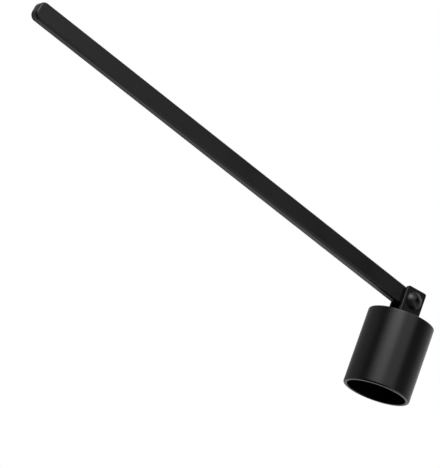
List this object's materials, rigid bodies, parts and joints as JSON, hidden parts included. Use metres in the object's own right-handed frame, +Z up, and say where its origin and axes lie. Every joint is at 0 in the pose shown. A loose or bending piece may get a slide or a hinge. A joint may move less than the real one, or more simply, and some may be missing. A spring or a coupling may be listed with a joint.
{
  "type": "candle snuffer",
  "caption": "Candle snuffer: a straight-sided metal bell on a folded sheet yoke, tilting on a friction pivot at the end of a long slim bar handle.",
  "frame": {"origin": "centre of the bell's mouth, in the plane of its rim", "axes": "+Z runs up the bell's axis towards the yoke; +Y runs along the pivot; the handle reaches towards -X"},
  "size_m": [0.2298, 0.03, 0.0792],
  "materials": {
    "bell_coat": "satin black",
    "yoke_coat": "semi-gloss black",
    "bar_coat": "fine matt black powder coat",
    "pivot_coat": "glossy black",
    "screw_steel": "blackened steel",
    "washer_steel": "zinc plated",
    "washer_nylon": "matt"
  },
  "bodies": {
    "handle": {"handle_bar": "bar_coat"},
    "bell": {"bell_shell": "bell_coat", "yoke": "yoke_coat", "yoke_screw": "screw_steel", "bell_washer": "washer_steel", "yoke_nut": "washer_steel", "pivot_screw": "pivot_coat", "pivot_barrel": "pivot_coat", "near_washer": "washer_nylon", "far_washer": "washer_nylon"}
  },
  "joints": [
    {"name": "bell_tilt", "type": "hinge", "parent": "handle", "child": "bell", "pos_m": [0, 0, 0.0434], "axis": [0, 1, 0], "range_deg": [-185, 22]}
  ]
}
